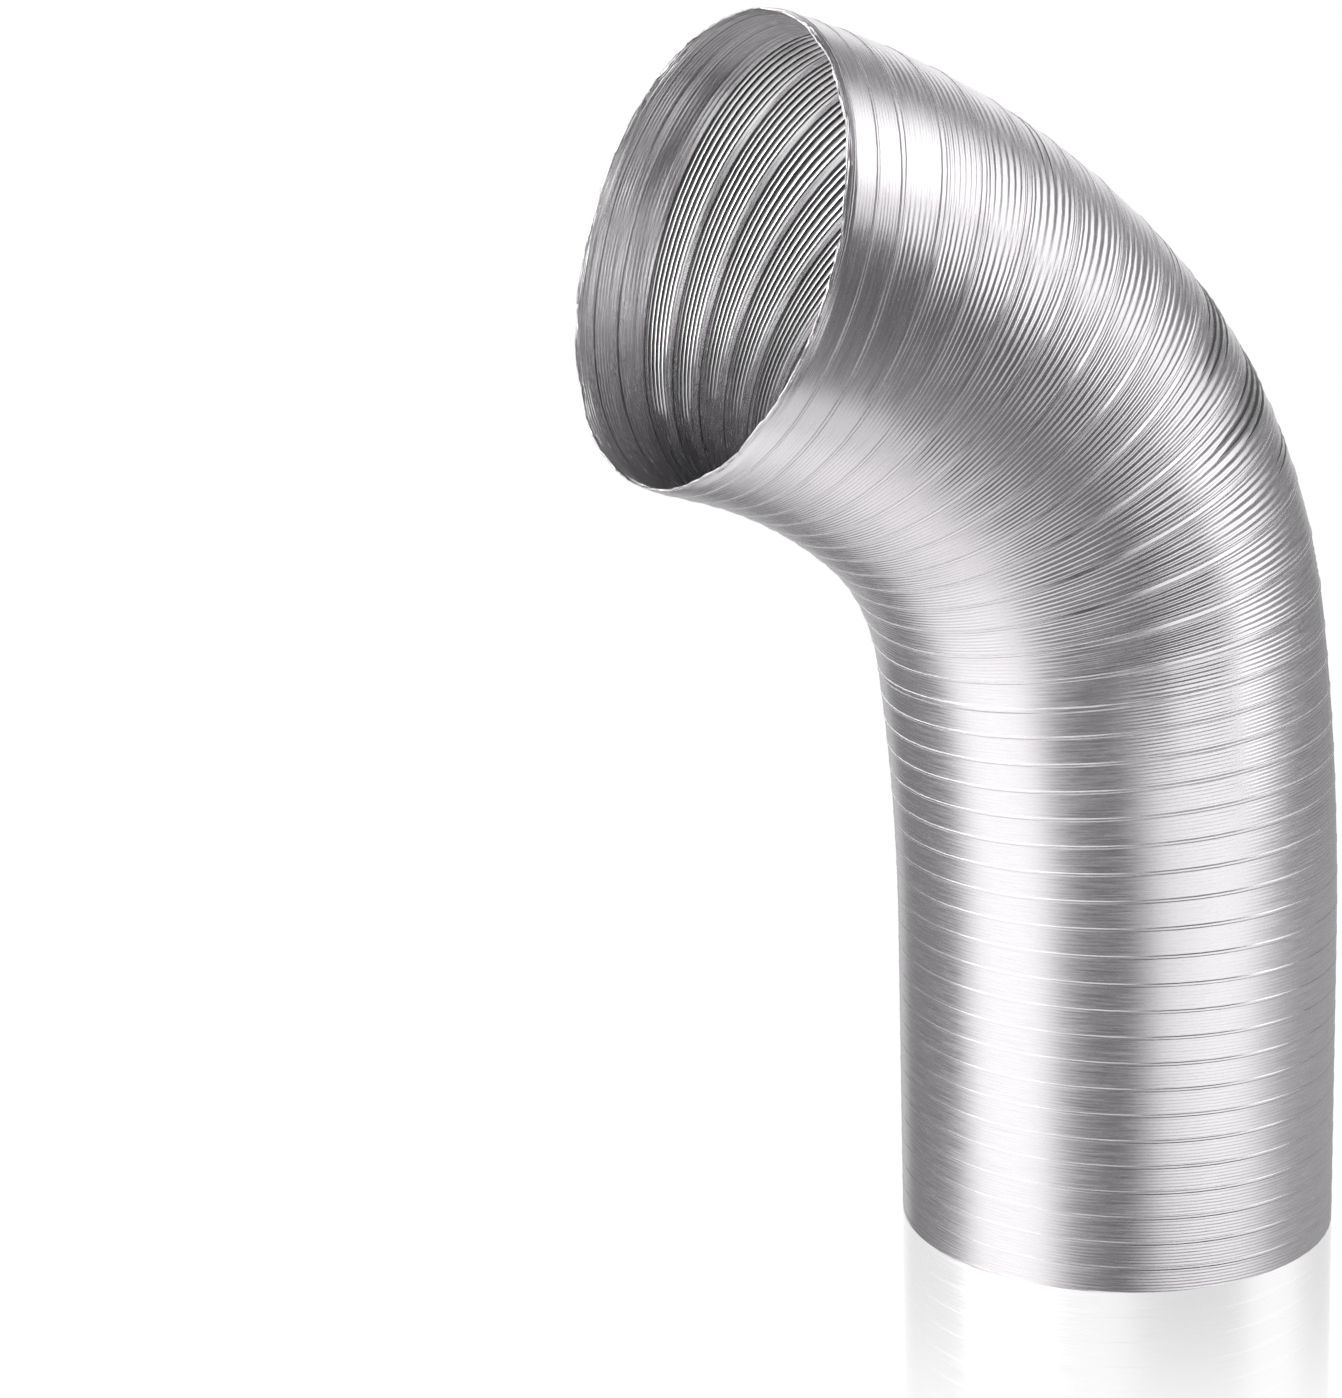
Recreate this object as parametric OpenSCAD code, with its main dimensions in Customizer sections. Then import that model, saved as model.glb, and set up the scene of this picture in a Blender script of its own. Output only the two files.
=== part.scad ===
// Flexible aluminium duct, bent by hand into a standing elbow.
// One thin pleated strip is wound into a tube, and a flat folded seam locks each turn to the next.
// Where the duct bends, the turns stay closed on the inside of the bend and open on the outside,
// so the pitch of the turns follows from the bend and is never set by itself. Closed turns show
// one groove each, and open turns show the pleats of the strip as well, a few wide ones for many.
// The origin is the middle of the lower cut end, +Z is up, and the duct bends towards -X.

/* [Tube] */
// Outside diameter over the seams
duct_od = 102; // [90:1:116]
// Thickness of the folded wall
wall = 1.3; // [1.2:0.1:2]
// Depth of the groove between two turns that are pressed together
closed_groove = 0.45; // [0.2:0.05:0.6]
// Depth of the pleats of a turn that is pulled far open
open_groove = 0.8; // [0.5:0.05:1.2]

/* [Strip] */
// Pitch of the turns where their pleats are pressed together
closed_pitch = 6.05; // [5:0.05:9]
// Width of the flat seam
seam_w = 1.7; // [1:0.1:2.4]
// Height of the first seam above the lower cut end, on the inside of the bend
first_seam = 4.8; // [3:0.1:9]
// Pleats that show on each turn in the two bends
open_pleats = 3; // [1:1:3]

/* [Route] */
// Length of the upright run that stands on the lower end
foot_run = 70; // [40:1:160]
// Length of the run that leans slowly towards the bend
lean_run = 72; // [40:1:160]
// Angle that the leaning run turns through
lean_angle = 8.5; // [2:0.5:16]
// Length of the tight bend, along the middle of the duct
elbow_run = 66; // [60:1:140]
// Angle that the tight bend turns through
elbow_angle = 40; // [10:1:44]
// Length of the easier bend above it
neck_run = 67; // [50:1:140]
// Angle that the easier bend turns through
neck_angle = 24; // [6:1:34]
// Length of the straight run in the mouth, all of it lined by a smooth cuff
mouth_run = 14; // [10:1:60]
// How far the turns of the tight bend trail behind a square section on one side
elbow_skew = 7.2; // [0:0.1:9]
// Angle of that side around the duct, from the inside of the bend
skew_side = 140; // [100:5:180]

/* [Ends] */
// Length of the smooth cuff inside the lower end
foot_cuff = 25; // [8:1:38]

/* [Smoothness] */
// Flat sides around the wound wall
sides = 28; // [28:4:36]

/* [Hidden] */

// A cuff stands this far proud of the folded wall at the cut end, so that the duct rests on it
cuff_lip = 0.3;
// Thickness of a cuff inside the folded wall
cuff_cover = 0.05;
// A fold that ends nearer than this to a cut end is cut away with it
shortest_fold = 0.5;
// A seam stands this far proud of the pleats beside it
seam_lift = 0.15;
// Facets of the round cuffs
cuff_facets = 120;

duct_r = duct_od / 2;
side_angle = 360 / sides;
// The middle of a flat side lies nearer to the axis than its corners by this share
flat_share = cos(side_angle / 2);
groove_r = duct_r - closed_groove;
// A cuff lines the folded wall, and its back lies between the seams' inner skin and the grooves
cuff_bore = 2 * (groove_r - wall - cuff_cover);
cuff_od = (duct_r - wall) / flat_share + groove_r * flat_share;

// Runs of the middle line from the lower end to the mouth, each one straight or an arc
run_l = [foot_run, lean_run, elbow_run, neck_run, mouth_run];
run_bend = [0, lean_angle, elbow_angle, neck_angle, 0];
runs = len(run_l);

function sum_first(list, count) = count == 0 ? 0 : list[count - 1] + sum_first(list, count - 1);

run_start = [for (i = [0 : runs]) sum_first(run_l, i)];
run_tilt = [for (i = [0 : runs]) sum_first(run_bend, i)];
run_curve = [for (i = [0 : runs - 1]) run_bend[i] * PI / 180 / run_l[i]];
duct_l = run_start[runs];

// Way gone towards -X and up, a length into one run
function run_out(i, gone) = run_bend[i] == 0
    ? gone * sin(run_tilt[i])
    : (cos(run_tilt[i]) - cos(run_tilt[i] + run_bend[i] * gone / run_l[i])) / run_curve[i];
function run_up(i, gone) = run_bend[i] == 0
    ? gone * cos(run_tilt[i])
    : (sin(run_tilt[i] + run_bend[i] * gone / run_l[i]) - sin(run_tilt[i])) / run_curve[i];

start_out = [for (i = [0 : runs - 1]) sum_first([for (k = [0 : runs - 1]) run_out(k, run_l[k])], i)];
start_up = [for (i = [0 : runs - 1]) sum_first([for (k = [0 : runs - 1]) run_up(k, run_l[k])], i)];

function run_at(along, i = 0) = i == runs - 1 || along < run_start[i + 1] ? i : run_at(along, i + 1);
function tilt_at(along) = let (i = run_at(along))
    run_tilt[i] + run_bend[i] * (along - run_start[i]) / run_l[i];
function middle_at(along) = let (i = run_at(along), gone = along - run_start[i])
    [-start_out[i] - run_out(i, gone), 0, start_up[i] + run_up(i, gone)];

// Point at a radius and an angle around the middle line. Angle 0 is the inside of the bend.
function wall_point(along, radius, around) = let (tilt = tilt_at(along))
    middle_at(along) + radius * [-cos(around) * cos(tilt), -sin(around), -cos(around) * sin(tilt)];

// Pitch along the middle line that keeps the turns closed on the inside of the bend
run_pitch = [for (i = [0 : runs - 1]) closed_pitch / (1 - run_curve[i] * duct_r)];
run_turns = [for (i = [0 : runs - 1]) run_l[i] / run_pitch[i]];
turn_start = [for (i = [0 : runs]) sum_first(run_turns, i) - first_seam / closed_pitch];
function run_of_turn(turn, i = 0) =
    i == runs - 1 || turn < turn_start[i + 1] ? i : run_of_turn(turn, i + 1);
function turn_along(turn) = let (i = run_of_turn(turn))
    run_start[i] + (turn - turn_start[i]) * run_pitch[i];

// The skew swells from the start of the tight bend and fades out over this share of the easier bend
skew_fade = 2 / 3;
skew_run = elbow_run + skew_fade * neck_run;
function skew_at(along) = let (gone = along - run_start[2])
    gone < 0 || gone > skew_run ? 0 : elbow_skew * sin(180 * gone / skew_run);

// Length of wall beside one unit of the middle line, at an angle around it
function stretch(along, around) = 1 - run_curve[run_at(along)] * duct_r * cos(around);

// The winding is left-handed: a seam comes down by one turn on its way once around
function seam_along(turn, around) = let (along = turn_along(turn - around / 360))
    along - skew_at(along) * (cos(around - skew_side) - cos(skew_side));
function turn_pitch(turn, around) = let (along = seam_along(turn, around))
    (seam_along(turn + 1, around) - along) * stretch(along, around);
// A collar presses the turns over a cuff together, so that they keep the closed groove
function is_pressed(turn, around) = seam_along(turn, around) < foot_cuff
    || seam_along(turn + 1, around) > duct_l - mouth_run;
function groove_at(turn, around) = is_pressed(turn, around)
    ? closed_groove
    : open_groove
        - (open_groove - closed_groove) * min(1, closed_pitch / turn_pitch(turn, around));

// A turn that lies wholly in the two bends shows its pleats, and any other shows one groove
function pleats_in(turn) =
    turn < ceil(turn_start[2]) || turn >= floor(turn_start[4]) ? 1 : open_pleats;

// Folds of one turn on the outer skin: both edges of the seam, then grooves with a crest between them.
// On the inner skin they are the back of the seam and, in an open turn, the back of the pleats.
function folds_in(outer, turn) = outer ? 2 * pleats_in(turn) + 1 : min(2, pleats_in(turn));

function outer_fold(turn, kind, around) = let (
    seam = seam_along(turn, around),
    next_seam = seam_along(turn + 1, around),
    half_seam = seam_w / 2 / stretch(seam, around),
    pleat_l = (next_seam - seam - 2 * half_seam) / pleats_in(turn))
    kind == 0 ? [seam - half_seam, duct_r]
    : kind == 1 ? [seam + half_seam, duct_r]
    : [seam + half_seam + (kind - 1) / 2 * pleat_l,
       duct_r - (kind % 2 == 0 ? groove_at(turn, around) : seam_lift)];

function inner_fold(turn, kind, around) = let (seam = seam_along(turn, around))
    kind == 0 ? [seam, (duct_r - wall) / flat_share]
    : [(seam + seam_along(turn + 1, around)) / 2,
       (duct_r - groove_at(turn, around) - wall) / flat_share];

// A skin is a net of points, with one column for each angle around and one row for each fold.
// Folds are cut off where they pass a cut end, and each column closes with a point on that end.
low_cut = cuff_lip;
high_cut = duct_l - cuff_lip;
low_turn = -1;
high_turn = ceil(turn_start[runs]) + 2;

function fold_no(outer, turn, kind) =
    kind + sum_first([for (below = [low_turn : high_turn]) folds_in(outer, below)], turn - low_turn);
function fold_list(outer) =
    [for (turn = [low_turn : high_turn]) for (kind = [0 : folds_in(outer, turn) - 1]) [turn, kind]];
folds = [fold_list(false), fold_list(true)];

function skin_fold(outer, fold, around) = let (place = folds[outer ? 1 : 0][fold])
    outer ? outer_fold(place[0], place[1], around) : inner_fold(place[0], place[1], around);
function folds_below(outer, cut, around) =
    len([for (fold = [0 : len(folds[outer ? 1 : 0]) - 1]) if (skin_fold(outer, fold, around)[0] < cut) 1]);
function first_fold(outer, around) = folds_below(outer, low_cut + shortest_fold, around);
function end_fold(outer, around) = folds_below(outer, high_cut - shortest_fold, around);

function skin_column(outer, around) = let (
    first = first_fold(outer, around),
    end = end_fold(outer, around),
    low_r = skin_fold(outer, first, around)[1],
    high_r = skin_fold(outer, end - 1, around)[1])
    concat(
        [wall_point(low_cut, low_r, around)],
        [for (fold = [first : end - 1]) let (place = skin_fold(outer, fold, around))
            wall_point(place[0], place[1], around)],
        [wall_point(high_cut, high_r, around)]);

function skin_columns(outer) = [for (k = [0 : sides - 1]) skin_column(outer, k * side_angle)];
function column_starts(columns, base) =
    [for (k = [0 : sides]) base + sum_first([for (column = columns) len(column)], k)];

// First and last fold of the next column that a fold runs into. Once around, a fold meets the turn
// below, where the groove of a closed turn and the pleats of an open one run into each other.
function next_folds(outer, k, fold) = k < sides - 1 ? [fold, fold] : let (
    place = folds[outer ? 1 : 0][fold],
    turn = place[0],
    top_kind = folds_in(outer, turn - 1) - 1,
    base = fold_no(outer, turn - 1, 0),
    low = base + min(place[1], top_kind))
    [low, place[1] == folds_in(outer, turn) - 1 ? base + top_kind : low];

function low_no(starts, k) = starts[k % sides];
function high_no(starts, k) = starts[k % sides + 1] - 1;

function skin_faces(outer, starts) = let (
    firsts = [for (k = [0 : sides - 1]) first_fold(outer, k * side_angle)],
    ends = [for (k = [0 : sides - 1]) end_fold(outer, k * side_angle)],
    turn_folds = folds_in(outer, low_turn))
    [for (k = [0 : sides - 1]) let (
        next = (k + 1) % sides,
        here_base = starts[k] + 1 - firsts[k],
        next_base = starts[next] + 1 - firsts[next],
        next_first = firsts[next] + (next == 0 ? turn_folds : 0),
        next_end = ends[next] + (next == 0 ? turn_folds : 0),
        met = [for (fold = [0 : max(ends[k], next_end) - 1])
            fold < next_first ? [0, 0] : next_folds(outer, k, fold)])
        each concat(
            [concat(
                [low_no(starts, k + 1), next_base + met[next_first][0]],
                [for (fold = [next_first : -1 : firsts[k]]) here_base + fold],
                [low_no(starts, k)])],
            [for (fold = [next_first : ends[k] - 1], side = [met[fold][0] : 1 : met[fold][1] - 1])
                [here_base + fold, next_base + side, next_base + side + 1]],
            [for (fold = [next_first : ends[k] - 2]) concat(
                [here_base + fold, next_base + met[fold][1]],
                met[fold + 1][0] > met[fold][1] ? [next_base + met[fold + 1][0]] : [],
                [here_base + fold + 1])],
            [concat(
                [high_no(starts, k), here_base + ends[k] - 1],
                [for (fold = [ends[k] - 1 : next_end - 1]) next_base + met[fold][0]],
                [high_no(starts, k + 1)])])];

// The same face seen from its other side, still with the same first corner
function turned(face) = concat([face[0]], [for (i = [len(face) - 1 : -1 : 1]) face[i]]);

// The pleated strip, wound and locked into one wall
module wound_wall() {
    outer_columns = skin_columns(true);
    inner_columns = skin_columns(false);
    outer_starts = column_starts(outer_columns, 0);
    inner_starts = column_starts(inner_columns, outer_starts[sides]);
    low_rim = [for (k = [0 : sides - 1]) [
        low_no(outer_starts, k), low_no(outer_starts, k + 1),
        low_no(inner_starts, k + 1), low_no(inner_starts, k)]];
    high_rim = [for (k = [0 : sides - 1]) [
        high_no(inner_starts, k), high_no(inner_starts, k + 1),
        high_no(outer_starts, k + 1), high_no(outer_starts, k)]];
    polyhedron(
        points = concat(
            [for (column = outer_columns) each column],
            [for (column = inner_columns) each column]),
        faces = concat(
            [for (face = skin_faces(true, outer_starts)) turned(face)],
            skin_faces(false, inner_starts),
            low_rim,
            high_rim),
        convexity = 12);
}

// Pleat tips at a cut end, pressed into a smooth cuff that a collar slides into
module cuff(length) {
    rotate_extrude($fn = cuff_facets)
        translate([cuff_bore / 2, 0])
            square([(cuff_od - cuff_bore) / 2, length]);
}

module duct() {
    color("silver")
        union() {
            wound_wall();
            cuff(foot_cuff);
            translate(middle_at(duct_l))
                rotate([0, 180 - tilt_at(duct_l), 0])
                    cuff(mouth_run);
        }
}

duct();
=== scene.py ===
# The flexible aluminium duct: one pleated strip, wound and locked into a tube, bent into a standing elbow.
import bmesh
import bpy
import math
from mathutils import Matrix, Vector, noise


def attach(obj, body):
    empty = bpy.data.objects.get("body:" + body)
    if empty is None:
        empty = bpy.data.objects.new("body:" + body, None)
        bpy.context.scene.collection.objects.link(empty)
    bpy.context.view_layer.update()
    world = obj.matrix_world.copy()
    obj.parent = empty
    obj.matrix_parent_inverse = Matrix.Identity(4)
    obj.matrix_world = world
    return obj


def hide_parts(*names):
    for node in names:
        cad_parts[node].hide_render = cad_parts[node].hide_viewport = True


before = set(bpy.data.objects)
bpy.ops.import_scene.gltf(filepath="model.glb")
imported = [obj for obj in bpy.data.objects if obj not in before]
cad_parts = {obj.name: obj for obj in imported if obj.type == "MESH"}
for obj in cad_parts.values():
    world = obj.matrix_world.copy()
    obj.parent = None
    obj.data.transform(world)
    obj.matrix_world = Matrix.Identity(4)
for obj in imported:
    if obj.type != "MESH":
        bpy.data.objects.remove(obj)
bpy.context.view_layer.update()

MM = 0.001

# Route of the middle line, as in the solid: length in mm and angle turned, from the lower end up
FOOT_RUN = (70.0, 0.0)
LEAN_RUN = (72.0, 8.5)
ELBOW_RUN = (66.0, 40.0)
NECK_RUN = (67.0, 24.0)
MOUTH_RUN = (14.0, 0.0)

# The winding, in mm: pitch of closed turns, first seam, and the skew of the elbow's turns
CLOSED_PITCH = 6.05
FIRST_SEAM = 4.8
ELBOW_SKEW = 7.2
SKEW_SIDE = math.radians(140.0)
SKEW_FADE = 2 / 3

# Form of the strip's folds, in mm
DUCT_R = 51.0
WALL = 1.35
PLEATS = 7
GROOVE_W = 0.16
# Steps on the lower and the upper side of a seam, in the pushed-together foot and in the bends
FOOT_STEPS = (0.045, 0.075)
BEND_STEPS = (0.2, 0.12)
OUTER_PLEAT = 0.14
INNER_SLOPE = 0.48
INNER_GROOVE = 0.22
CLOSED_SEAM_HALF = 0.22
OPEN_SEAM_HALF = 0.6
CLOSED_PLEAT_W = 0.73
WIDE_PLEAT_W = 1.25
WIDE_INNER_W = 1.05
INNER_FADE = 24.0
OUTER_FADE = 70.0
# Shape of one pleat: place across it, and how far it falls there from crest to trough, outside and inside
PLEAT_SHAPE = ((0.25, 0.5, 0.15), (0.5, 0.0, 0.0), (0.75, 0.5, 0.15), (1.0, 1.0, 1.0))
# How far into the mouth run the pleats still show, in mm
SHOWN_PAST_MOUTH = 12
# Depth at which a hollow between inner pleats starts to get painted shade, and over which that painted shade gets
# dark, in mm
HOLLOW_START = 0.24
HOLLOW_DEPTH = 0.3

# Depth of the pleats in turns that are pushed closed, in mm, drawn by the shader
FINE_PLEAT = 0.012
BENT_FINE_PLEAT = 0.065
INNER_FINE_PLEAT = 0.05
# Rows of each skin from one seam's lower edge to its upper one
OUTER_SEAM_ROWS = 6
INNER_SEAM_ROWS = 4

# Rings of vertices below the torn rim, and how far down it is uneven, in mm
RIM_RINGS = (0.5, 1.1)
RIM_REACH = 3.0
# Vertices this far inside the outer skin belong to the foil's inner layer at the rim, in mm
INNER_LAYER = 0.7

# Distance within which vertices count as one, in metres
SAME_PLACE = 0.001 * MM

# Fineness of the wound mesh
STEPS_AROUND = 64
FLAT_TURNS = 21.0
SPARE_TURNS = 2


def clamp01(value):
    return min(1.0, max(0.0, value))


def ease(value):
    value = clamp01(value)
    return value * value * (3 - 2 * value)


def blended(low, high, share):
    return low + (high - low) * share


class Run:
    """One stretch of the middle line, straight or an arc."""

    def __init__(self, size, start, tilt, place, turn):
        self.length = size[0]
        self.start = start
        self.tilt = tilt
        self.curve = math.radians(size[1]) / size[0]
        self.place = place
        self.turn = turn
        self.pitch = CLOSED_PITCH / (1 - self.curve * DUCT_R)

    def tilt_at(self, gone):
        return self.tilt + self.curve * gone

    def point_at(self, gone):
        if self.curve == 0:
            return self.place + Vector((-math.sin(self.tilt), 0, math.cos(self.tilt))) * gone
        end = self.tilt_at(gone)
        out = (math.cos(self.tilt) - math.cos(end)) / self.curve
        up = (math.sin(end) - math.sin(self.tilt)) / self.curve
        return self.place + Vector((-out, 0, up))


def make_route(sizes):
    route = []
    start, tilt, place, turn = 0.0, 0.0, Vector(), -FIRST_SEAM / CLOSED_PITCH
    for size in sizes:
        run = Run(size, start, tilt, place, turn)
        route.append(run)
        start += run.length
        tilt = run.tilt_at(run.length)
        place = run.point_at(run.length)
        turn += run.length / run.pitch
    return route


route = make_route([FOOT_RUN, LEAN_RUN, ELBOW_RUN, NECK_RUN, MOUTH_RUN])
lean = route[1]
elbow = route[2]
neck = route[3]
mouth = route[4]
DUCT_L = mouth.start + mouth.length
MOUTH_PLACE = mouth.point_at(mouth.length)
MOUTH_AXIS = Vector((-math.sin(mouth.tilt), 0, math.cos(mouth.tilt)))
SKEW_RUN = elbow.length + SKEW_FADE * neck.length


def run_at(along):
    found = route[0]
    for run in route[1:]:
        if along >= run.start:
            found = run
    return found


def turn_along(turn):
    """Where a turn's seam crosses the inside of the bend, in mm along the middle line."""
    found = route[0]
    for run in route[1:]:
        if turn >= run.turn:
            found = run
    return found.start + (turn - found.turn) * found.pitch


def skew_at(along):
    gone = (along - elbow.start) / SKEW_RUN
    return ELBOW_SKEW * math.sin(math.pi * gone) if 0 < gone < 1 else 0.0


def seam_along(turn, around):
    along = turn_along(turn)
    return along - skew_at(along) * (math.cos(around - SKEW_SIDE) - math.cos(SKEW_SIDE))


def stretch_at(along, around):
    return 1 - run_at(along).curve * DUCT_R * math.cos(around)


def wall_point(along, radius, around):
    """A point beside the middle line, in metres. Angle 0 is the inside of the bend."""
    run = run_at(along)
    tilt = run.tilt_at(along - run.start)
    side = Vector((-math.cos(around) * math.cos(tilt), -math.sin(around), -math.cos(around) * math.sin(tilt)))
    return (run.point_at(along - run.start) + side * radius) * MM


class Seam:
    """One seam where it crosses an angle around the duct, with the grooves on its two sides."""

    def __init__(self, turn, around):
        self.along = seam_along(turn, around)
        self.stretch = stretch_at(self.along, around)
        two_turns = seam_along(turn + 1, around) - seam_along(turn - 1, around)
        opening = two_turns / 2 * self.stretch / CLOSED_PITCH - 1
        self.half = blended(CLOSED_SEAM_HALF, OPEN_SEAM_HALF, ease(opening / 0.5))
        bent = ease((self.along - lean.start) / lean.length)
        self.lower_step = blended(FOOT_STEPS[0], BEND_STEPS[0], bent)
        self.upper_step = blended(FOOT_STEPS[1], BEND_STEPS[1], bent)

    def beside(self, offset):
        return self.along + offset / self.stretch


def pleat_folds(low, high, around):
    """Places of the folds between two seams, with how far the outer skin falls and the inner one gives way."""
    start = low.beside(low.half + GROOVE_W)
    end = high.beside(-high.half - GROOVE_W)
    room = (end - start) * stretch_at((start + end) / 2, around)
    spread = clamp01(room / PLEATS / CLOSED_PLEAT_W - 1)
    weights = [blended(1.0, 0.6 + 0.63 * math.sin(math.pi * (k + 0.5) / PLEATS), spread) for k in range(PLEATS)]
    total = sum(weights)
    outer_shown = ease((mouth.start + SHOWN_PAST_MOUTH - start) / OUTER_FADE)
    inner_shown = ease((mouth.start + SHOWN_PAST_MOUTH - start) / INNER_FADE)
    folds = []
    gone = 0.0
    for k, weight in enumerate(weights):
        width = room * weight / total
        opened = width - CLOSED_PLEAT_W
        outer_deep = outer_shown * OUTER_PLEAT * ease(opened / (WIDE_PLEAT_W - CLOSED_PLEAT_W))
        inner_deep = inner_shown * INNER_SLOPE * width * ease(opened / (WIDE_INNER_W - CLOSED_PLEAT_W))
        for part, outer_fall, inner_fall in PLEAT_SHAPE:
            across = (gone + weight * part) / total
            folds.append((across, start + (end - start) * across, outer_deep * outer_fall,
                          INNER_GROOVE * across + inner_deep * (1 - inner_fall)))
        gone += weight
    return folds[:-1]


def outer_folds(turn, around):
    """Rows of the outer skin from one seam's lower groove to the next one's, as along and radius."""
    low = Seam(turn, around)
    high = Seam(turn + 1, around)
    rows = [
        (low.beside(-low.half - GROOVE_W), DUCT_R - low.lower_step),
        (low.beside(-low.half), DUCT_R),
        (low.beside(-0.6 * low.half), DUCT_R),
        (low.beside(0.6 * low.half), DUCT_R),
        (low.beside(low.half), DUCT_R),
        (low.beside(low.half + GROOVE_W), DUCT_R - low.upper_step),
    ]
    for across, along, fall, _ in pleat_folds(low, high, around):
        rows.append((along, DUCT_R - blended(low.upper_step, high.lower_step, across) - fall))
    rows.append((high.beside(-high.half - GROOVE_W), DUCT_R - high.lower_step))
    return rows


def inner_folds(turn, around):
    """Rows of the inner skin over the same stretch of the strip."""
    low = Seam(turn, around)
    high = Seam(turn + 1, around)
    inner_r = DUCT_R - WALL
    rows = [
        (low.beside(-low.half - GROOVE_W), inner_r + INNER_GROOVE),
        (low.beside(-low.half + 2 * GROOVE_W), inner_r),
        (low.beside(low.half), inner_r),
        (low.beside(low.half + GROOVE_W), inner_r),
    ]
    for _, along, _, give in pleat_folds(low, high, around):
        rows.append((along, inner_r + give))
    rows.append((high.beside(-high.half - GROOVE_W), inner_r + INNER_GROOVE))
    return rows


def fine_pleat(turn, around):
    """How deep the foil's shader shows the pleats of a nearly closed turn, in mm."""
    along = turn_along(turn)
    pitch = (seam_along(turn + 0.5, around) - seam_along(turn - 0.5, around)) * stretch_at(along, around)
    width = (pitch - 2 * CLOSED_SEAM_HALF - 2 * GROOVE_W) / PLEATS
    opened = ease((width - CLOSED_PLEAT_W) / (WIDE_PLEAT_W - CLOSED_PLEAT_W))
    return FINE_PLEAT + OUTER_PLEAT * opened * ease((along - lean.start) / lean.length)


def wound_skin(bm, folds, seam_rows):
    """Winds one skin of the strip from the mouth down, and welds each turn to the next."""
    top_turn = mouth.turn + mouth.length / mouth.pitch + SPARE_TURNS
    columns = math.ceil((top_turn + SPARE_TURNS) * STEPS_AROUND)
    rows = seam_rows + 4 * PLEATS - 1
    grid = bmesh.ops.create_grid(bm, x_segments=columns, y_segments=rows, size=1.0, calc_uvs=True)["verts"]
    flat_column = (top_turn - FLAT_TURNS) * STEPS_AROUND
    pleat_layer = bm.verts.layers.float["pleat"]
    rows_layer = bm.verts.layers.float["seam_rows"]
    hollow_layer = bm.verts.layers.float["hollow"]
    rubbed_layer = bm.verts.layers.float["rubbed"]
    strip = {}
    for vert in grid:
        column = round((vert.co.x + 1) / 2 * columns)
        row = round((vert.co.y + 1) / 2 * rows)
        strip[vert] = (column, row)
        vert[rows_layer] = seam_rows
        along = turn_along(top_turn - column / STEPS_AROUND)
        if seam_rows == OUTER_SEAM_ROWS:
            vert[rubbed_layer] = ease((along - lean.start) / lean.length)
        if seam_rows == INNER_SEAM_ROWS:
            vert[pleat_layer] = INNER_FINE_PLEAT
        elif column < flat_column:
            shown = ease((along - elbow.start) / elbow.length + 0.4) * ease((DUCT_L + 5 - along) / OUTER_FADE)
            vert[pleat_layer] = BENT_FINE_PLEAT * shown
        else:
            vert[pleat_layer] = fine_pleat(top_turn - column / STEPS_AROUND, math.tau * column / STEPS_AROUND)
    places = []
    for column in range(columns + 1):
        around = math.tau * (column % STEPS_AROUND) / STEPS_AROUND
        turn = top_turn - column / STEPS_AROUND
        places.append([(wall_point(along, radius, around), radius) for along, radius in folds(turn, around)])
    for vert, (column, row) in strip.items():
        vert.co, radius = places[column][row]
        # Painted shade for the inner skin: how deep a row lies in a hollow, with the seam grooves counted full,
        # sets how far its colour is darkened
        if seam_rows == INNER_SEAM_ROWS:
            deep = clamp01((radius - DUCT_R + WALL - HOLLOW_START) / HOLLOW_DEPTH)
            vert[hollow_layer] = 1.0 if row in (0, rows) else deep

    # Closed turns keep the rows beside the seam and two crests, because their pleats lie flat
    kept = set(range(seam_rows + 2)) | {seam_rows + 13, rows - 2, rows - 1, rows}
    spare = []
    for vert, (column, row) in strip.items():
        if row in kept or column < flat_column:
            continue
        for edge in vert.link_edges:
            other = strip[edge.other_vert(vert)]
            if other[1] == row and other[0] > column:
                spare.append(edge)
    border = [vert for vert, (column, row) in strip.items() if row in (0, rows)]
    bmesh.ops.remove_doubles(bm, verts=border, dist=SAME_PLACE)
    bmesh.ops.dissolve_edges(bm, edges=spare, use_verts=True)


def cut_end(bm, place, axis):
    """Cuts the wound tube off square, and closes the wall at the cut."""
    bmesh.ops.bisect_plane(
        bm, geom=bm.verts[:] + bm.edges[:] + bm.faces[:], dist=SAME_PLACE,
        plane_co=place, plane_no=axis, clear_outer=True)
    rim = [
        edge for edge in bm.edges
        if edge.is_boundary and all(abs((vert.co - place).dot(axis)) < 0.01 * MM for vert in edge.verts)]
    bmesh.ops.triangle_fill(bm, edges=rim, normal=axis, use_beauty=True)


def below_mouth(vert):
    """How far a vertex lies below the plane of the mouth."""
    return (MOUTH_PLACE * MM - vert.co).dot(MOUTH_AXIS)


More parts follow.
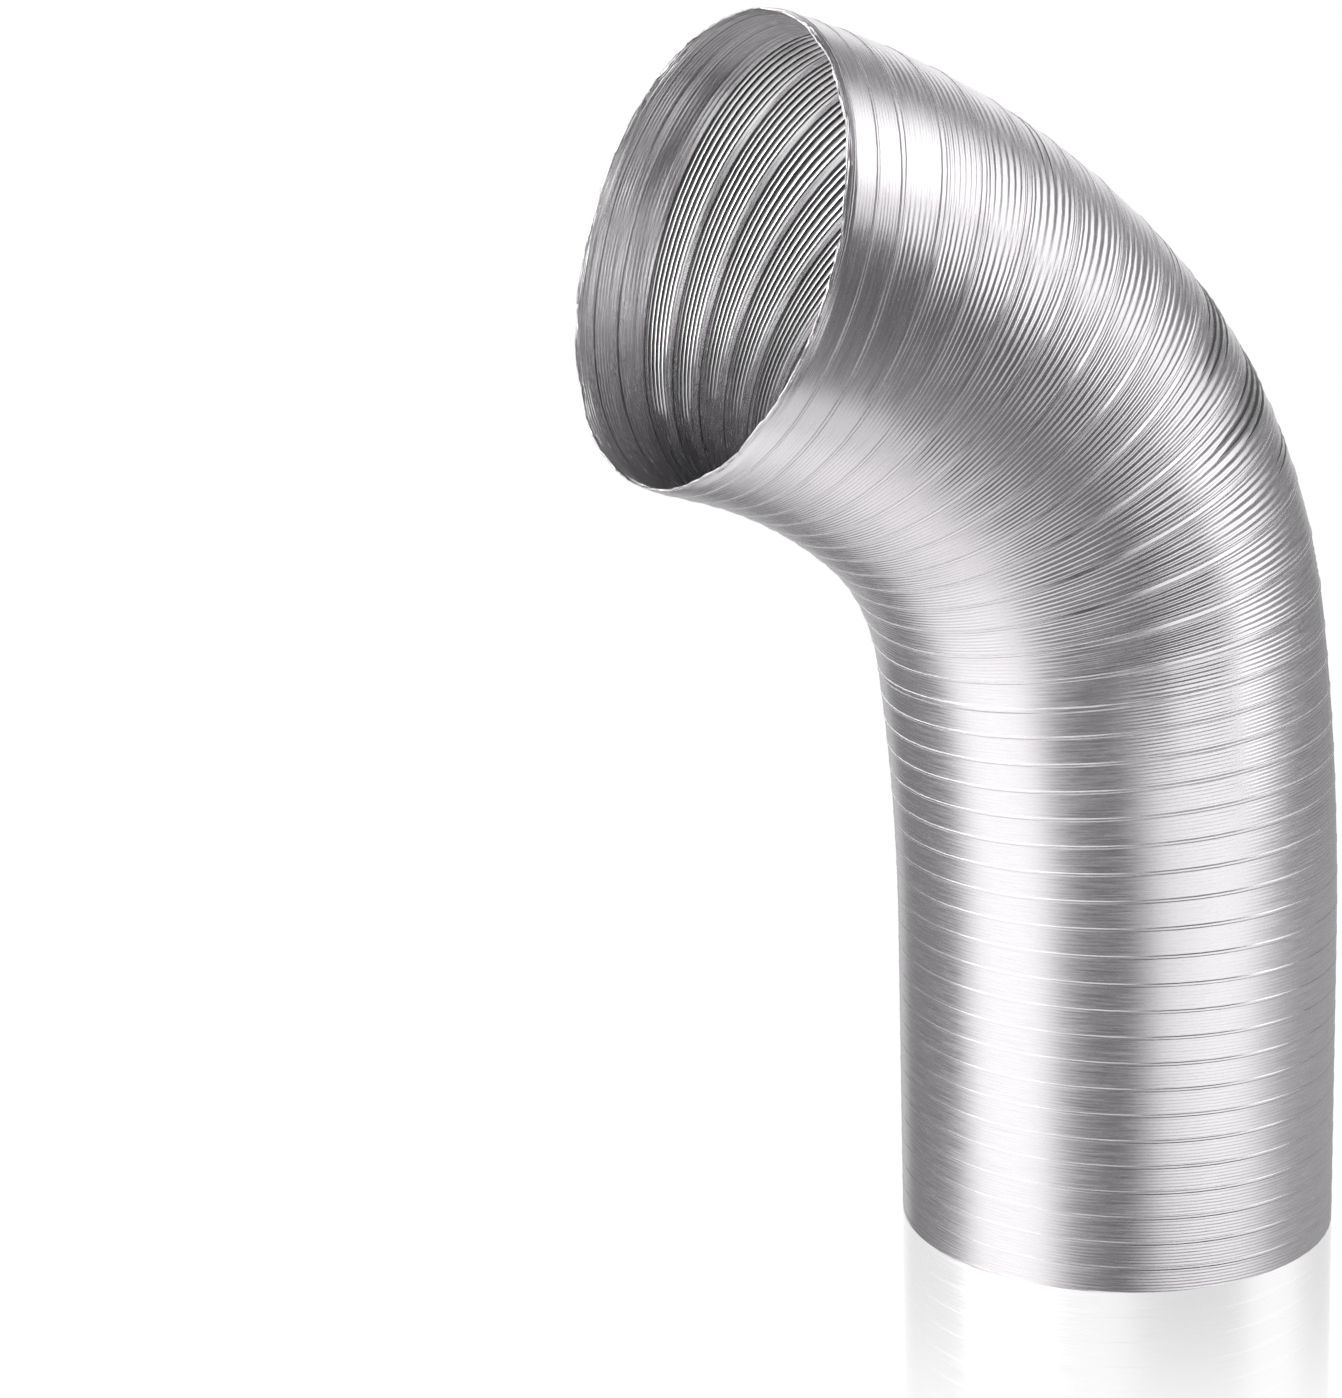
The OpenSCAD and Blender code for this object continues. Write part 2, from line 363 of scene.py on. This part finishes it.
def ragged_rim(bm):
    """Rings of short edges just below the cut, with the foil's two layers pressed together and torn."""
    for depth in RIM_RINGS:
        bmesh.ops.bisect_plane(
            bm, geom=bm.verts[:] + bm.edges[:] + bm.faces[:], dist=SAME_PLACE,
            plane_co=(MOUTH_PLACE - MOUTH_AXIS * depth) * MM, plane_no=MOUTH_AXIS)
    ring_edges = []
    for edge in bm.edges:
        low, high = sorted(below_mouth(vert) for vert in edge.verts)
        if high < (RIM_RINGS[-1] + 0.01) * MM and high - low < 0.01 * MM:
            ring_edges.append(edge)
    bmesh.ops.subdivide_edges(bm, edges=ring_edges, cuts=3, use_grid_fill=True)
    for vert in bm.verts:
        gone = below_mouth(vert)
        if gone > RIM_REACH * MM:
            continue
        share = 1 - max(0.0, gone) / (RIM_REACH * MM)
        from_axis = vert.co - MOUTH_PLACE * MM
        from_axis -= MOUTH_AXIS * from_axis.dot(MOUTH_AXIS)
        out = from_axis.normalized()
        radius = from_axis.length / MM
        place = vert.co.copy()
        torn = 0.6 * noise.noise(place * 120) + 0.5 * noise.noise(place * 420) + 0.5 * noise.noise(place * 1100)
        curl = 0.35 * noise.noise(place * 160 + Vector((7, 0, 0))) + 0.2 * noise.noise(place * 800)
        edge_r = DUCT_R - max(0.45, 0.55 - curl)
        if radius < DUCT_R - INNER_LAYER:
            edge_r -= 0.3
        vert.co += out * (edge_r - radius) * MM * share
        vert.co -= MOUTH_AXIS * max(0.5, 0.8 + 0.75 * torn) * MM * share


def make_duct():
    bm = bmesh.new()
    bm.loops.layers.uv.new("strip")
    bm.verts.layers.float.new("pleat")
    bm.verts.layers.float.new("seam_rows")
    bm.verts.layers.float.new("hollow")
    bm.verts.layers.float.new("rubbed")
    wound_skin(bm, outer_folds, OUTER_SEAM_ROWS)
    wound_skin(bm, inner_folds, INNER_SEAM_ROWS)
    cut_end(bm, Vector(), Vector((0, 0, -1)))
    cut_end(bm, MOUTH_PLACE * MM, MOUTH_AXIS)
    ragged_rim(bm)
    bmesh.ops.recalc_face_normals(bm, faces=bm.faces)
    for face in bm.faces:
        face.smooth = below_mouth(face.verts[0]) > RIM_RINGS[0] * MM
    for edge in bm.edges:
        edge.smooth = len(edge.link_faces) == 2 and edge.calc_face_angle() < math.radians(75)
    mesh = bpy.data.meshes.new("duct_foil")
    bm.to_mesh(mesh)
    bm.free()
    duct = bpy.data.objects.new("duct_foil", mesh)
    bpy.context.scene.collection.objects.link(duct)
    return duct


def new_material(name):
    material = bpy.data.materials.new(name)
    material.use_nodes = True
    nodes = material.node_tree.nodes
    return material, nodes, material.node_tree.links, nodes["Principled BSDF"]


def foil_material():
    """Bright rolled foil: fine streaks run around the duct with the strip."""
    material, nodes, links, shader = new_material("foil")
    shader.inputs["Metallic"].default_value = 1.0
    shader.inputs["Anisotropic"].default_value = 0.5
    uv = nodes.new("ShaderNodeUVMap")
    uv.uv_map = "strip"
    tangent = nodes.new("ShaderNodeTangent")
    tangent.direction_type = "UV_MAP"
    tangent.uv_map = "strip"
    links.new(tangent.outputs["Tangent"], shader.inputs["Tangent"])

    along_strip = nodes.new("ShaderNodeMapping")
    along_strip.inputs["Scale"].default_value = (1100.0, 15.0, 1.0)
    links.new(uv.outputs["UV"], along_strip.inputs["Vector"])
    streaks = nodes.new("ShaderNodeTexNoise")
    streaks.inputs["Scale"].default_value = 1.0
    streaks.inputs["Detail"].default_value = 5.0
    streaks.inputs["Roughness"].default_value = 0.75
    links.new(along_strip.outputs["Vector"], streaks.inputs["Vector"])

    roughness = nodes.new("ShaderNodeMapRange")
    roughness.inputs["From Min"].default_value = 0.3
    roughness.inputs["From Max"].default_value = 0.7
    roughness.inputs["To Min"].default_value = 0.14
    roughness.inputs["To Max"].default_value = 0.34
    links.new(streaks.outputs["Fac"], roughness.inputs["Value"])
    # The two skins are told apart by how many rows their seams have
    skin = nodes.new("ShaderNodeAttribute")
    skin.attribute_name = "seam_rows"
    outside = nodes.new("ShaderNodeMapRange")
    outside.inputs["From Min"].default_value = INNER_SEAM_ROWS
    outside.inputs["From Max"].default_value = OUTER_SEAM_ROWS
    links.new(skin.outputs["Fac"], outside.inputs["Value"])
    scuffed = nodes.new("ShaderNodeMapRange")
    scuffed.inputs["To Min"].default_value = 0.9
    scuffed.inputs["To Max"].default_value = 1.0
    links.new(outside.outputs["Result"], scuffed.inputs["Value"])
    worn = nodes.new("ShaderNodeMath")
    worn.operation = "MULTIPLY"
    links.new(roughness.outputs["Result"], worn.inputs[0])
    links.new(scuffed.outputs["Result"], worn.inputs[1])
    shade = nodes.new("ShaderNodeMapRange")
    shade.inputs["From Min"].default_value = 0.3
    shade.inputs["From Max"].default_value = 0.7
    links.new(streaks.outputs["Fac"], shade.inputs["Value"])
    tone = nodes.new("ShaderNodeMix")
    tone.data_type = "RGBA"
    tone.inputs["A"].default_value = (0.71, 0.688, 0.711, 1)
    tone.inputs["B"].default_value = (0.95, 0.92, 0.952, 1)
    links.new(shade.outputs["Result"], tone.inputs["Factor"])
    # Painted shade: the inner skin's colour is darkened in the hollows between the wide pleats and in its seam
    # grooves, where little light gets in
    hollow = nodes.new("ShaderNodeAttribute")
    hollow.attribute_name = "hollow"
    hollow_painted_shade = nodes.new("ShaderNodeMapRange")
    hollow_painted_shade.inputs["To Min"].default_value = 0.0
    hollow_painted_shade.inputs["To Max"].default_value = 0.95
    links.new(hollow.outputs["Fac"], hollow_painted_shade.inputs["Value"])
    inside = nodes.new("ShaderNodeMath")
    inside.operation = "SUBTRACT"
    inside.inputs[0].default_value = 1.0
    links.new(outside.outputs["Result"], inside.inputs[1])
    inside_painted_shade = nodes.new("ShaderNodeMath")
    inside_painted_shade.operation = "MULTIPLY"
    links.new(hollow_painted_shade.outputs["Result"], inside_painted_shade.inputs[0])
    links.new(inside.outputs[0], inside_painted_shade.inputs[1])
    painted_shade_colour = nodes.new("ShaderNodeMix")
    painted_shade_colour.data_type = "RGBA"
    painted_shade_colour.inputs["B"].default_value = (0.12, 0.12, 0.12, 1)
    links.new(inside_painted_shade.outputs[0], painted_shade_colour.inputs["Factor"])
    # Painted light: the inner skin gets a near-white copy of the foil's colour, lighter than the outer skin's
    # streaked tone, to make up for light lost between the inner walls
    inside_painted_light = nodes.new("ShaderNodeMix")
    inside_painted_light.data_type = "RGBA"
    inside_painted_light.inputs["B"].default_value = (0.985, 0.969, 0.986, 1)
    links.new(inside.outputs[0], inside_painted_light.inputs["Factor"])
    links.new(tone.outputs["Result"], inside_painted_light.inputs["A"])
    links.new(inside_painted_light.outputs["Result"], painted_shade_colour.inputs["A"])
    links.new(painted_shade_colour.outputs["Result"], shader.inputs["Base Color"])

    scratches = nodes.new("ShaderNodeBump")
    scratches.inputs["Strength"].default_value = 0.5
    scratches.inputs["Distance"].default_value = 0.00004
    links.new(streaks.outputs["Fac"], scratches.inputs["Height"])

    # Pleats between two seams: the strip's rows give the phase, the vertices the depth
    split = nodes.new("ShaderNodeSeparateXYZ")
    links.new(uv.outputs["UV"], split.inputs["Vector"])
    strip_rows = nodes.new("ShaderNodeMath")
    strip_rows.inputs[1].default_value = 4 * PLEATS - 1
    links.new(skin.outputs["Fac"], strip_rows.inputs[0])
    row = nodes.new("ShaderNodeMath")
    row.operation = "MULTIPLY_ADD"
    links.new(split.outputs["Y"], row.inputs[0])
    links.new(strip_rows.outputs[0], row.inputs[1])
    row.inputs[2].default_value = 1.0

    # The two edges of each outer seam are rubbed dull where the duct bends
    edges = []
    for middle, reach in ((2.0, 1.0), (OUTER_SEAM_ROWS - 0.5, 0.5)):
        edge = nodes.new("ShaderNodeMath")
        edge.operation = "COMPARE"
        edge.inputs[1].default_value = middle
        edge.inputs[2].default_value = reach
        links.new(row.outputs[0], edge.inputs[0])
        edges.append(edge)
    rubbed = nodes.new("ShaderNodeMath")
    rubbed.operation = "ADD"
    links.new(edges[0].outputs[0], rubbed.inputs[0])
    links.new(edges[1].outputs[0], rubbed.inputs[1])
    bent = nodes.new("ShaderNodeAttribute")
    bent.attribute_name = "rubbed"
    rubbed_bend = nodes.new("ShaderNodeMath")
    rubbed_bend.operation = "MULTIPLY"
    links.new(rubbed.outputs[0], rubbed_bend.inputs[0])
    links.new(bent.outputs["Fac"], rubbed_bend.inputs[1])
    dulled = nodes.new("ShaderNodeMath")
    dulled.operation = "MULTIPLY_ADD"
    dulled.inputs[1].default_value = 0.5
    links.new(rubbed_bend.outputs[0], dulled.inputs[0])
    links.new(worn.outputs[0], dulled.inputs[2])
    links.new(dulled.outputs[0], shader.inputs["Roughness"])

    phase = nodes.new("ShaderNodeMath")
    phase.operation = "SUBTRACT"
    links.new(row.outputs[0], phase.inputs[0])
    links.new(skin.outputs["Fac"], phase.inputs[1])
    between = nodes.new("ShaderNodeMath")
    between.operation = "MAXIMUM"
    between.inputs[1].default_value = 0.0
    links.new(phase.outputs[0], between.inputs[0])
    angle = nodes.new("ShaderNodeMath")
    angle.operation = "MULTIPLY"
    angle.inputs[1].default_value = math.tau / 4
    links.new(between.outputs[0], angle.inputs[0])
    wave = nodes.new("ShaderNodeMath")
    wave.operation = "COSINE"
    links.new(angle.outputs[0], wave.inputs[0])
    depth = nodes.new("ShaderNodeAttribute")
    depth.attribute_name = "pleat"
    height = nodes.new("ShaderNodeMath")
    height.operation = "MULTIPLY"
    links.new(wave.outputs[0], height.inputs[0])
    links.new(depth.outputs["Fac"], height.inputs[1])
    pleats = nodes.new("ShaderNodeBump")
    pleats.inputs["Strength"].default_value = 1.0
    pleats.inputs["Distance"].default_value = -0.5 * MM
    links.new(height.outputs[0], pleats.inputs["Height"])
    links.new(scratches.outputs["Normal"], pleats.inputs["Normal"])
    links.new(pleats.outputs["Normal"], shader.inputs["Normal"])
    return material


# Camera, fitted to the photograph: height above the horizon, turn around the duct, and roll
CAMERA_HEIGHT = math.radians(13.13)
CAMERA_TURN = math.radians(-29.08)
CAMERA_ROLL = math.radians(-1.94)
CAMERA_BACK = 711.53 * MM
CAMERA_RIGHT = -102.83 * MM
CAMERA_UP = 125.08 * MM
SENSOR = 36.0
PHOTO_H = 1398
FOCAL_PIXELS = 2951.82


def make_camera():
    data = bpy.data.cameras.new("camera")
    data.sensor_width = SENSOR
    data.lens = FOCAL_PIXELS * SENSOR / PHOTO_H
    data.clip_start = 0.01
    data.clip_end = 100.0
    turn = Matrix.Rotation(CAMERA_TURN, 3, "Z")
    back = turn @ Vector((0, -math.cos(CAMERA_HEIGHT), math.sin(CAMERA_HEIGHT)))
    right = turn @ Vector((1, 0, 0))
    up = turn @ Vector((0, math.sin(CAMERA_HEIGHT), math.cos(CAMERA_HEIGHT)))
    rolled_right = right * math.cos(CAMERA_ROLL) + up * math.sin(CAMERA_ROLL)
    rolled_up = up * math.cos(CAMERA_ROLL) - right * math.sin(CAMERA_ROLL)
    facing = Matrix((rolled_right, rolled_up, back)).transposed()
    camera = bpy.data.objects.new("camera", data)
    camera.matrix_world = Matrix.Translation(
        back * CAMERA_BACK + right * CAMERA_RIGHT + up * CAMERA_UP) @ facing.to_4x4()
    bpy.context.scene.collection.objects.link(camera)
    bpy.context.scene.camera = camera


def make_world():
    """White for the camera, for reflections and through glass, and a little lower as light."""
    world = bpy.data.worlds.new("studio")
    world.use_nodes = True
    nodes = world.node_tree.nodes
    links = world.node_tree.links
    background = nodes["Background"]
    background.inputs["Color"].default_value = (1, 1, 1, 1)
    rays = nodes.new("ShaderNodeLightPath")
    seen = nodes.new("ShaderNodeMath")
    seen.operation = "MAXIMUM"
    links.new(rays.outputs["Is Camera Ray"], seen.inputs[0])
    links.new(rays.outputs["Is Glossy Ray"], seen.inputs[1])
    clear = nodes.new("ShaderNodeMath")
    clear.operation = "MAXIMUM"
    links.new(seen.outputs[0], clear.inputs[0])
    links.new(rays.outputs["Is Transmission Ray"], clear.inputs[1])
    level = nodes.new("ShaderNodeMapRange")
    level.inputs["To Min"].default_value = 0.8
    level.inputs["To Max"].default_value = 1.0
    links.new(clear.outputs[0], level.inputs["Value"])
    links.new(level.outputs["Result"], background.inputs["Strength"])
    bpy.context.scene.world = world


# Tones of the reflectors around the duct: angle from +X in degrees, and strength, where 1 is white
FLOOR_TONES = [(0, 0.7), (60, 0.75), (90, 0.9), (200, 1.0), (260, 0.8), (360, 0.7)]
NEAR_TONES = [(0, 0.5), (60, 0.5), (94, 0.62), (125, 0.9), (205, 0.95), (240, 0.65), (300, 0.85), (360, 0.5)]
LOW_TONES = [(0, 0.3), (60, 0.22), (86, 0.18), (104, 0.2), (124, 0.45), (148, 1.15), (196, 1.15),
             (218, 0.4), (232, 0.12), (254, 0.05), (294, 0.05), (310, 0.3), (360, 0.4)]
MID_TONES = [(0, 0.38), (24, 0.4), (34, 0.45), (60, 0.42), (76, 0.7), (82, 0.7), (94, 0.24), (124, 0.24),
             (142, 0.26), (154, 1.0), (160, 1.25), (194, 1.25), (207, 0.45), (216, 0.2), (238, 0.17), (247, 0.5),
             (257, 1.05), (285, 1.22), (302, 1.12), (314, 0.72), (324, 0.5), (336, 0.38), (360, 0.38)]
EVEN_TONES = [(0, 0.28), (24, 0.32), (34, 0.45), (60, 0.42), (76, 0.7), (82, 0.7), (94, 0.2), (124, 0.2),
              (142, 0.22), (154, 1.0), (160, 1.25), (194, 1.25), (205, 0.42), (214, 0.2), (238, 0.16), (247, 0.3),
              (258, 1.05), (285, 1.25), (303, 1.25), (315, 0.8), (323, 0.38), (336, 0.25), (360, 0.25)]
LEVEL_TONES = [(0, 0.26), (22, 0.3), (34, 0.5), (80, 0.6), (105, 0.6), (190, 0.6), (200, 0.5), (290, 0.2),
               (298, 0.4), (305, 2.0), (318, 1.9), (326, 0.3), (340, 0.2), (360, 0.26)]
HIGH_TONES = [(0, 0.85), (14, 0.3), (60, 0.3), (100, 3.6), (190, 3.6), (200, 1.0), (236, 1.0), (250, 0.15),
              (304, 0.1), (312, 1.25), (345, 1.15), (360, 0.9)]
CEILING_TONES = [(0, 0.15), (90, 0.15), (110, 1.2), (190, 1.2), (210, 0.15), (360, 0.15)]


def raised_tones(end, white):
    """Tones above the level of the duct's middle, with the white card on the right ending at an angle."""
    return [(0, 0.22), (20, 0.26), (32, 0.8), (42, 1.1), (77, 1.1), (88, 0.3), (146, 0.4), (160, 4.0), (186, 4.0),
            (198, 1.0), (236, 1.0), (248, 0.2), (262, 0.1), (299, 0.1), (307, white), (end - 8, white),
            (end + 6, 0.35), (360, 0.22)]


# Heights of these tones, as angles seen from the duct
TONE_HEIGHTS = [(-75, FLOOR_TONES), (-57, NEAR_TONES), (-47, LOW_TONES), (-36, LOW_TONES), (-29, MID_TONES),
                (-20, MID_TONES), (-12, EVEN_TONES), (-7, LEVEL_TONES), (0, raised_tones(327, 2.0)),
                (6, raised_tones(338, 1.7)), (13, raised_tones(343, 1.4)), (22, raised_tones(344, 1.02)),
                (30, raised_tones(346, 1.0)), (35, HIGH_TONES), (44, HIGH_TONES), (52, CEILING_TONES),
                (80, CEILING_TONES)]
REFLECTOR_R = 1.4
REFLECTOR_MIDDLE = 0.15
# Outline of the black card that shows in the neck, as x and z in metres, and its place in front of the duct
BLACK_CARD = ((-0.10, 0.10), (-0.03, 0.10), (-0.022, 0.125), (-0.008, 0.143), (0.004, 0.164), (0.012, 0.185),
              (0.010, 0.21), (-0.008, 0.245), (-0.025, 0.262), (-0.10, 0.275))
BLACK_CARD_Y = -0.13


def tone_at(tones, angle):
    for (start, low), (end, high) in zip(tones, tones[1:]):
        if angle <= end:
            return blended(low, high, (angle - start) / (end - start))
    return tones[-1][1]


def toned_stage(name, bm):
    """Makes a mesh whose vertices carry tones into a card that shows only in reflections."""
    mesh = bpy.data.meshes.new(name)
    bm.to_mesh(mesh)
    bm.free()
    card = bpy.data.objects.new(name, mesh)
    bpy.context.scene.collection.objects.link(card)
    material, nodes, links, shader = new_material(name)
    tone = nodes.new("ShaderNodeAttribute")
    tone.attribute_name = "tone"
    glow = nodes.new("ShaderNodeEmission")
    links.new(tone.outputs["Fac"], glow.inputs["Strength"])
    links.new(glow.outputs["Emission"], nodes["Material Output"].inputs["Surface"])
    nodes.remove(shader)
    mesh.materials.append(material)
    card.visible_camera = False
    card.visible_diffuse = False
    card.visible_shadow = False


def toned_ring(bm, radius, height, tones):
    """A ring of vertices with tones around the duct, as a set of edges."""
    tone_layer = bm.verts.layers.float["tone"]
    ring = bmesh.ops.create_circle(bm, segments=180, radius=radius)["verts"]
    for vert in ring:
        vert[tone_layer] = tone_at(tones, math.degrees(math.atan2(vert.co.y, vert.co.x)) % 360)
        vert.co.z = height
    return {edge for vert in ring for edge in vert.link_edges}


def make_reflectors():
    """Toned cards around and above the duct, shown only in its reflections."""
    bm = bmesh.new()
    bm.verts.layers.float.new("tone")
    rings = []
    for height, tones in TONE_HEIGHTS:
        way = math.radians(height)
        rings.append(toned_ring(
            bm, REFLECTOR_R * math.cos(way), REFLECTOR_MIDDLE + REFLECTOR_R * math.sin(way), tones))
    for low, high in zip(rings, rings[1:]):
        bmesh.ops.bridge_loops(bm, edges=list(low | high))
    toned_stage("reflectors", bm)

    # A black card before the neck
    bm = bmesh.new()
    tone_layer = bm.verts.layers.float.new("tone")
    corners = [bm.verts.new((x, BLACK_CARD_Y, z)) for x, z in BLACK_CARD]
    bm.faces.new(corners)
    for corner in corners:
        corner[tone_layer] = 0.25 if corner.co.z < 0.11 else 0.13
    toned_stage("black_card", bm)


def make_floor():
    """A white floor that keeps the duct's shadow and a faint mirror image near its foot."""
    bm = bmesh.new()
    bmesh.ops.create_circle(bm, cap_ends=True, segments=96, radius=3.0)
    mesh = bpy.data.meshes.new("floor")
    bm.to_mesh(mesh)
    bm.free()
    floor = bpy.data.objects.new("floor", mesh)
    bpy.context.scene.collection.objects.link(floor)
    material, nodes, links, shader = new_material("white_floor")
    shader.inputs["Base Color"].default_value = (0.95, 0.95, 0.95, 1)
    shader.inputs["Roughness"].default_value = 0.8
    shader.inputs["Specular IOR Level"].default_value = 0.0
    place = nodes.new("ShaderNodeTexCoord")
    reach = nodes.new("ShaderNodeVectorMath")
    reach.operation = "LENGTH"
    links.new(place.outputs["Object"], reach.inputs[0])
    mirror = nodes.new("ShaderNodeBsdfGlossy")
    mirror.inputs["Color"].default_value = (1, 1, 1, 1)
    mirror.inputs["Roughness"].default_value = 0.03
    gloss = nodes.new("ShaderNodeMapRange")
    gloss.interpolation_type = "SMOOTHSTEP"
    gloss.inputs["From Min"].default_value = 0.045
    gloss.inputs["From Max"].default_value = 0.15
    gloss.inputs["To Min"].default_value = 0.3
    gloss.inputs["To Max"].default_value = 0.0
    links.new(reach.outputs["Value"], gloss.inputs["Value"])
    white = nodes.new("ShaderNodeEmission")
    white.inputs["Color"].default_value = (1, 1, 1, 1)
    far = nodes.new("ShaderNodeMapRange")
    far.interpolation_type = "SMOOTHSTEP"
    far.inputs["From Min"].default_value = 0.055
    far.inputs["From Max"].default_value = 0.12
    far.inputs["To Min"].default_value = 0.9
    far.inputs["To Max"].default_value = 1.0
    links.new(reach.outputs["Value"], far.inputs["Value"])
    lit = nodes.new("ShaderNodeMixShader")
    links.new(far.outputs["Result"], lit.inputs["Fac"])
    links.new(shader.outputs["BSDF"], lit.inputs[1])
    links.new(white.outputs["Emission"], lit.inputs[2])
    surface = nodes.new("ShaderNodeMixShader")
    links.new(gloss.outputs["Result"], surface.inputs["Fac"])
    links.new(lit.outputs["Shader"], surface.inputs[1])
    links.new(mirror.outputs["BSDF"], surface.inputs[2])
    links.new(surface.outputs["Shader"], nodes["Material Output"].inputs["Surface"])
    mesh.materials.append(material)
    floor.visible_glossy = False


def make_lamp(name, angle, height, distance, size, power):
    """A soft square lamp that looks at the middle of the duct."""
    data = bpy.data.lights.new(name, "AREA")
    data.size = size
    data.energy = power
    lamp = bpy.data.objects.new(name, data)
    target = Vector((0, 0, 0.14))
    way = Vector((math.cos(angle) * math.cos(height), math.sin(angle) * math.cos(height), math.sin(height)))
    lamp.location = target + way * distance
    lamp.rotation_euler = way.to_track_quat("Z", "Y").to_euler()
    bpy.context.scene.collection.objects.link(lamp)


duct = make_duct()
duct.data.materials.append(foil_material())
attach(duct, "root")
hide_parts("duct")

make_camera()
make_world()
make_reflectors()
make_floor()
make_lamp("lamp_left", math.radians(172), math.radians(42), 1.2, 0.8, 0.3)
make_lamp("lamp_right", math.radians(330), math.radians(48), 1.2, 0.8, 1.0)
bpy.context.scene.view_settings.view_transform = "Standard"
